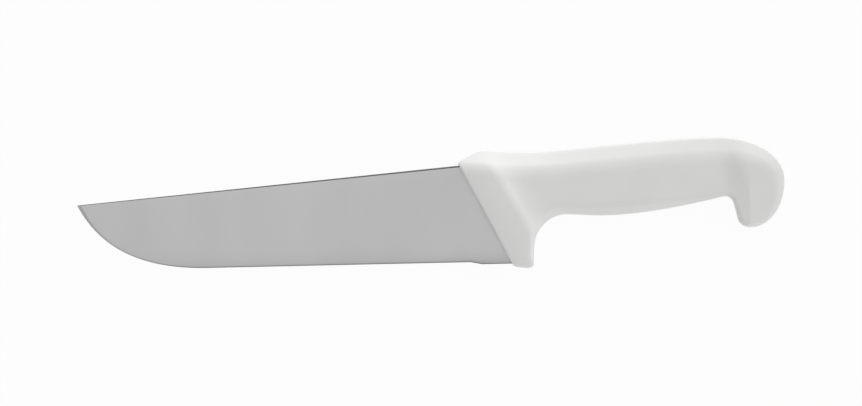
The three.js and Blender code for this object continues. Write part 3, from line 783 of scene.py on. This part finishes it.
def bevel_rows(reach, back_share, full_reach):
    """Drops and shares of the width from the middle plane over a bevel to the side, for every section."""
    def on_bevel(share):
        return share * reach, lerp(back_share, 1, share)

    seam = SEAM_HALF_WIDTH / (GRIP_WIDTH * back_share)
    even = np.linspace(0, 1, EDGE_STEPS + 1)[1:]
    edge_steps = [0, seam, *(1 - (1 - even) ** 2)]
    rows = bend((0, 0), on_bevel(0), on_bevel(BEVEL_EDGE), edge_steps)
    softness = np.minimum(BEVEL_SOFTNESS * full_reach / reach, 1 - BEVEL_EDGE)
    side = (reach + BEVEL_TAIL * full_reach, 1)
    rows += bend(on_bevel(1 - softness), on_bevel(1), side, np.linspace(0, 1, BEVEL_STEPS + 1))
    full = np.ones(len(reach))
    return [drop * full for drop, _ in rows], [share * full for _, share in rows]


def handle_sides(tops, unders, top_bevel, under_bevel, end_share):
    """One side of every section from the back to the underside, as an array of X, Y and Z."""
    lengths = np.linalg.norm(unders - tops, axis=1)
    top_reach, top_share, top_full = top_bevel
    under_reach, under_share, under_full = under_bevel
    wanted = top_reach + under_reach + BEVEL_TAIL * (top_full + under_full)
    room = np.minimum(1, lengths * (1 - FLANK_SHARE) / wanted)
    top_drops, top_shares = bevel_rows(top_reach * room, top_share, top_full * room)
    under_drops, under_shares = bevel_rows(under_reach * room, under_share, under_full * room)
    upper = top_drops[-1]
    lower = lengths - under_drops[-1]
    margin = (lower - upper) * CREST_MARGIN
    crest = np.clip(crest_crossings(tops, unders, lengths), upper + margin, lower - margin)

    flank = [lerp(upper, crest, i / UPPER_FLANK_STEPS) for i in range(1, UPPER_FLANK_STEPS + 1)]
    flank += [lerp(crest, lower, i / LOWER_FLANK_STEPS) for i in range(1, LOWER_FLANK_STEPS)]
    drops = np.column_stack(top_drops + flank + [lengths - drop for drop in under_drops[::-1]])
    shares = np.column_stack(top_shares + [np.ones(len(tops))] * len(flank) + under_shares[::-1])

    ridge = np.minimum(SEAM_HEIGHT, lengths * SEAM_SHARE)
    drops[:, 0] -= ridge
    drops[:, -1] += ridge
    places = lerp(tops[:, None], unders[:, None], (drops / lengths[:, None])[..., None])
    half = side_half(places[..., 0], places[..., 1]) * shares * end_share[:, None]
    return np.dstack([places, half])


def handle_stretches():
    """The handle's four stretches, each with its back, its underside and the bevels along the two."""
    ramp_share = HUMP_RISE / COLLAR_BEVEL  # of the collar's bevel, cut off by the ramp at the front
    front_share = lerp(COLLAR_BACK_SHARE, 1, ramp_share)
    front = bevel_form(COLLAR_BEVEL * (1 - ramp_share), front_share, COLLAR_BEVEL)
    collar = bevel_form(COLLAR_BEVEL, COLLAR_BACK_SHARE)
    thumb = bevel_form(THUMB_BEVEL, THUMB_BACK_SHARE)
    rear = bevel_form(REAR_BEVEL, REAR_BACK_SHARE)
    butt = bevel_form(BUTT_BEVEL, BUTT_SHARE)
    guard = bevel_form(GUARD_BEVEL, GUARD_SHARE)
    grip = bevel_form(GRIP_UNDER_BEVEL, GRIP_UNDER_SHARE)
    hook = bevel_form(HOOK_BEVEL, HOOK_SHARE)
    return [
        (collar_top(), guard_end(), (front, collar), (guard, guard)),
        (thumb_rest(), guard_rear(), (collar, thumb), (guard, guard, grip)),
        (grip_back(), grip_underside(), (thumb, rear), (grip, grip, hook)),
        (pommel_back(), hook_front(), (rear, butt, hook), (hook, hook)),
    ]


def section_places(index):
    """Shares of a stretch at which it has sections: those of the last draw together towards its end."""
    shares = np.linspace(0, 1, STRETCH_STEPS[index] + 1)
    if index > 0:
        shares = shares[1:]
    if index == len(STRETCH_STEPS) - 1:
        shares = (shares + np.sin(shares * pi / 2))[:-1] / 2
    return shares


def handle_sections():
    """Sections of the whole handle, from the front face to just before the end of the hook."""
    tops, unders, top_bevel, under_bevel = [], [], [], []
    for index, (back, under, back_forms, under_forms) in enumerate(handle_stretches()):
        shares = section_places(index)
        tops.append(spread(back, shares))
        unders.append(spread(under, shares))
        top_bevel.append(between(back_forms, shares))
        under_bevel.append(between(under_forms, shares))
    tops = np.concatenate(tops)
    unders = np.concatenate(unders)
    top_bevel = np.concatenate(top_bevel, axis=1)
    under_bevel = np.concatenate(under_bevel, axis=1)
    to_end = np.linalg.norm((tops + unders) / 2 - HOOK_END, axis=1) / HOOK_END_ROUNDING
    end_share = np.sqrt(1 - (1 - np.minimum(to_end, 1)) ** 2)
    return handle_sides(tops, unders, top_bevel, under_bevel, end_share)


def make_handle(blade):
    """The handle as one closed mesh, with the room for the blade and its tang cut out of it."""
    sides = handle_sections()
    other = sides[:, -2:0:-1] * (1, 1, -1)
    points = np.concatenate([sides, other], axis=1)
    count = points.shape[1]
    rings = numbered_rings(0, len(points), count)
    end = count * len(points)
    rows = sides.shape[1]

    faces = []
    for first, second in zip(rings, rings[1:]):
        faces += ring_faces(first, second)
    faces += [(rings[-1][i], rings[-1][(i + 1) % count], end) for i in range(count)]
    faces += [(i, i + 1, (count - i - 1) % count, (count - i) % count) for i in range(1, rows - 2)]
    faces += [(0, 1, count - 1), (rows - 2, rows - 1, rows)]

    handle = piece("handle_plastic", np.concatenate([points.reshape(-1, 3), [(*HOOK_END, 0)]]), faces)
    subtract(handle, grown(blade, CLEARANCE))
    return handle


# Materials

def new_material(name):
    material = bpy.data.materials.new(name)
    material.use_nodes = True
    nodes = material.node_tree.nodes
    return material, nodes, material.node_tree.links, nodes["Principled BSDF"]


def stretched_noise(nodes, links, scale, detail):
    """Noise in the frame's own axes, with a scale for each axis in repeats per metre."""
    place = nodes.new("ShaderNodeTexCoord")
    mapping = nodes.new("ShaderNodeMapping")
    mapping.inputs["Scale"].default_value = scale
    noise = nodes.new("ShaderNodeTexNoise")
    noise.inputs["Scale"].default_value = 1
    noise.inputs["Detail"].default_value = detail
    links.new(place.outputs["Object"], mapping.inputs["Vector"])
    links.new(mapping.outputs["Vector"], noise.inputs["Vector"])
    return noise.outputs["Fac"]


def ranged(nodes, links, value, low, high):
    """A noise value, spread between two numbers."""
    spread_out = nodes.new("ShaderNodeMapRange")
    spread_out.inputs["From Min"].default_value = NOISE_RANGE[0]
    spread_out.inputs["From Max"].default_value = NOISE_RANGE[1]
    spread_out.inputs["To Min"].default_value = low
    spread_out.inputs["To Max"].default_value = high
    links.new(value, spread_out.inputs["Value"])
    return spread_out.outputs["Result"]


def mixed_colour(nodes, links, value, first, second):
    """A mix of two colours, each as three numbers, or the first as another node's output."""
    mix = nodes.new("ShaderNodeMix")
    mix.data_type = "RGBA"
    links.new(value, mix.inputs["Factor"])
    if isinstance(first, bpy.types.NodeSocket):
        links.new(first, mix.inputs["A"])
    else:
        mix.inputs["A"].default_value = (*first, 1)
    mix.inputs["B"].default_value = (*second, 1)
    return mix.outputs["Result"]


def bumped(nodes, links, value, distance):
    bump = nodes.new("ShaderNodeBump")
    bump.inputs["Strength"].default_value = 1
    bump.inputs["Distance"].default_value = distance
    links.new(value, bump.inputs["Height"])
    return bump.outputs["Normal"]


def satin_steel():
    """Steel that was ground and polished from the spine to the edge."""
    material, nodes, links, shader = new_material("satin_steel")
    lines = stretched_noise(nodes, links, GRINDING_LINES, GRINDING_DETAIL)
    bands = stretched_noise(nodes, links, STEEL_BANDS, STEEL_BAND_DETAIL)
    # painted shade and painted dark reflections darken the spine, the edge and the sides beside the edge
    edges = nodes.new("ShaderNodeAttribute")
    edges.attribute_name = PAINTED_SHADE_NAME
    side = mixed_colour(nodes, links, ranged(nodes, links, bands, 0, 1), *STEEL_COLOURS)
    tone = mixed_colour(nodes, links, edges.outputs["Fac"], side, PAINTED_SHADE_COLOUR)
    links.new(tone, shader.inputs["Base Color"])
    links.new(ranged(nodes, links, lines, *STEEL_ROUGHNESS), shader.inputs["Roughness"])
    links.new(bumped(nodes, links, lines, GRINDING_DEPTH), shader.inputs["Normal"])
    shader.inputs["Metallic"].default_value = 1
    return material


def white_plastic():
    """Polypropylene with the fine grain of its mould."""
    material, nodes, links, shader = new_material("white_plastic")
    grain = stretched_noise(nodes, links, PLASTIC_GRAIN, PLASTIC_GRAIN_DETAIL)
    cloud = stretched_noise(nodes, links, PLASTIC_CLOUD, PLASTIC_CLOUD_DETAIL)
    tone = mixed_colour(nodes, links, ranged(nodes, links, cloud, 0, 1), *PLASTIC_COLOURS)
    links.new(tone, shader.inputs["Base Color"])
    links.new(ranged(nodes, links, grain, *PLASTIC_ROUGHNESS), shader.inputs["Roughness"])
    links.new(bumped(nodes, links, grain, PLASTIC_GRAIN_DEPTH), shader.inputs["Normal"])
    shader.inputs["IOR"].default_value = PLASTIC_IOR
    shader.inputs["Subsurface Weight"].default_value = PLASTIC_SCATTER
    shader.inputs["Subsurface Radius"].default_value = PLASTIC_SCATTER_REACH
    shader.inputs["Subsurface Scale"].default_value = 1
    return material


# Studio

def larger_of(nodes, links, first, second):
    larger = nodes.new("ShaderNodeMath")
    larger.operation = "MAXIMUM"
    links.new(first, larger.inputs[0])
    links.new(second, larger.inputs[1])
    return larger.outputs[0]


def pale_floor():
    """Pale and matt, but almost plain white to the camera and to what mirrors it."""
    material, nodes, links, shader = new_material("pale_floor")
    shader.inputs["Base Color"].default_value = (*FLOOR_COLOUR, 1)
    shader.inputs["Roughness"].default_value = 1
    shader.inputs["Specular IOR Level"].default_value = 0
    glow = nodes.new("ShaderNodeEmission")
    glow.inputs["Color"].default_value = (1, 1, 1, 1)
    seen = nodes.new("ShaderNodeLightPath").outputs
    mirrored = larger_of(nodes, links, seen["Is Glossy Ray"], seen["Is Transmission Ray"])
    share = nodes.new("ShaderNodeMath")
    share.operation = "MULTIPLY"
    share.inputs[1].default_value = FLOOR_WHITENESS
    links.new(larger_of(nodes, links, seen["Is Camera Ray"], mirrored), share.inputs[0])
    mix = nodes.new("ShaderNodeMixShader")
    links.new(share.outputs[0], mix.inputs["Fac"])
    links.new(shader.outputs[0], mix.inputs[1])
    links.new(glow.outputs[0], mix.inputs[2])
    links.new(mix.outputs[0], nodes["Material Output"].inputs["Surface"])
    return material


def make_floor():
    """A flat floor under the knife, which keeps its shadow."""
    mesh = bpy.data.meshes.new("floor")
    corners = [(x * FLOOR_REACH, y * FLOOR_REACH, 0) for x, y in ((-1, -1), (1, -1), (1, 1), (-1, 1))]
    mesh.from_pydata(corners, [], [(0, 1, 2, 3)])
    mesh.materials.append(pale_floor())
    floor = bpy.data.objects.new("floor", mesh)
    bpy.context.scene.collection.objects.link(floor)


def make_world():
    """Even light from all round, with a steady change from one side to the other."""
    world = bpy.data.worlds.new("studio")
    bpy.context.scene.world = world
    world.use_nodes = True
    nodes = world.node_tree.nodes
    links = world.node_tree.links
    nodes.clear()
    place = nodes.new("ShaderNodeTexCoord")
    towards = nodes.new("ShaderNodeVectorMath")
    towards.operation = "DOT_PRODUCT"
    towards.inputs[1].default_value = SKY_LEAN
    level = nodes.new("ShaderNodeMath")
    level.operation = "MULTIPLY_ADD"
    level.inputs[1].default_value = SKY_LEVEL
    level.inputs[2].default_value = SKY_LEVEL
    sky = nodes.new("ShaderNodeBackground")
    sky.inputs["Color"].default_value = (1, 1, 1, 1)
    out = nodes.new("ShaderNodeOutputWorld")
    links.new(place.outputs["Generated"], towards.inputs[0])
    links.new(towards.outputs["Value"], level.inputs[0])
    links.new(level.outputs[0], sky.inputs["Strength"])
    links.new(sky.outputs["Background"], out.inputs["Surface"])


def make_lamp(name, place, power):
    """A soft rectangular lamp that faces the frame's origin."""
    data = bpy.data.lights.new(name, "AREA")
    data.shape = "RECTANGLE"
    data.size, data.size_y = LAMP_SIZE
    data.energy = power
    lamp = bpy.data.objects.new(name, data)
    lamp.location = place
    lamp.rotation_euler = (-Vector(place)).to_track_quat("-Z", "Y").to_euler()
    lamp.visible_camera = False
    bpy.context.scene.collection.objects.link(lamp)


def make_camera():
    """Looks straight down at the knife, framed as the photograph is."""
    data = bpy.data.cameras.new("camera")
    data.lens = LENS
    data.sensor_width = SENSOR
    camera = bpy.data.objects.new("camera", data)
    roll = radians(CAMERA_ROLL)
    right = np.array([cos(roll), sin(roll)])
    up = np.array([-sin(roll), cos(roll)])
    across = (FRAME_WIDTH / 2 - HEEL_PIXEL[0]) * PIXEL_SIZE * MM
    rise = (HEEL_PIXEL[1] - FRAME_HEIGHT / 2) * PIXEL_SIZE * MM
    middle = ORIGIN[:2] + across * right + rise * up
    distance = FRAME_WIDTH * PIXEL_SIZE * MM * LENS / SENSOR
    camera.location = (*middle, ORIGIN[2] + distance)
    camera.rotation_euler = (0, 0, roll)
    bpy.context.scene.collection.objects.link(camera)
    bpy.context.scene.camera = camera


def dress(body, material, smooth_below):
    """Gives a piece its material, and smooth shading where its faces meet at less than an angle."""
    body.data.materials.clear()
    body.data.materials.append(material)
    body.data.polygons.foreach_set("use_smooth", [True] * len(body.data.polygons))
    body.data.set_sharp_from_angle(angle=radians(smooth_below))


make_camera()
make_world()
make_floor()
make_lamp("key_lamp", (KEY_SHIFT, LAMP_DISTANCE, LAMP_HEIGHT), KEY_POWER)
make_lamp("fill_lamp", (0, -LAMP_DISTANCE, LAMP_HEIGHT), FILL_POWER)

blade = make_blade()
handle = make_handle(blade)
dress(blade, satin_steel(), BLADE_SMOOTH_BELOW)
dress(handle, white_plastic(), HANDLE_SMOOTH_BELOW)

for made, node, slot in ((blade, "blade", "blade_steel"), (handle, "handle", "handle_plastic")):
    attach(made, "root")
    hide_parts(node)

bpy.context.scene.view_settings.view_transform = "Standard"
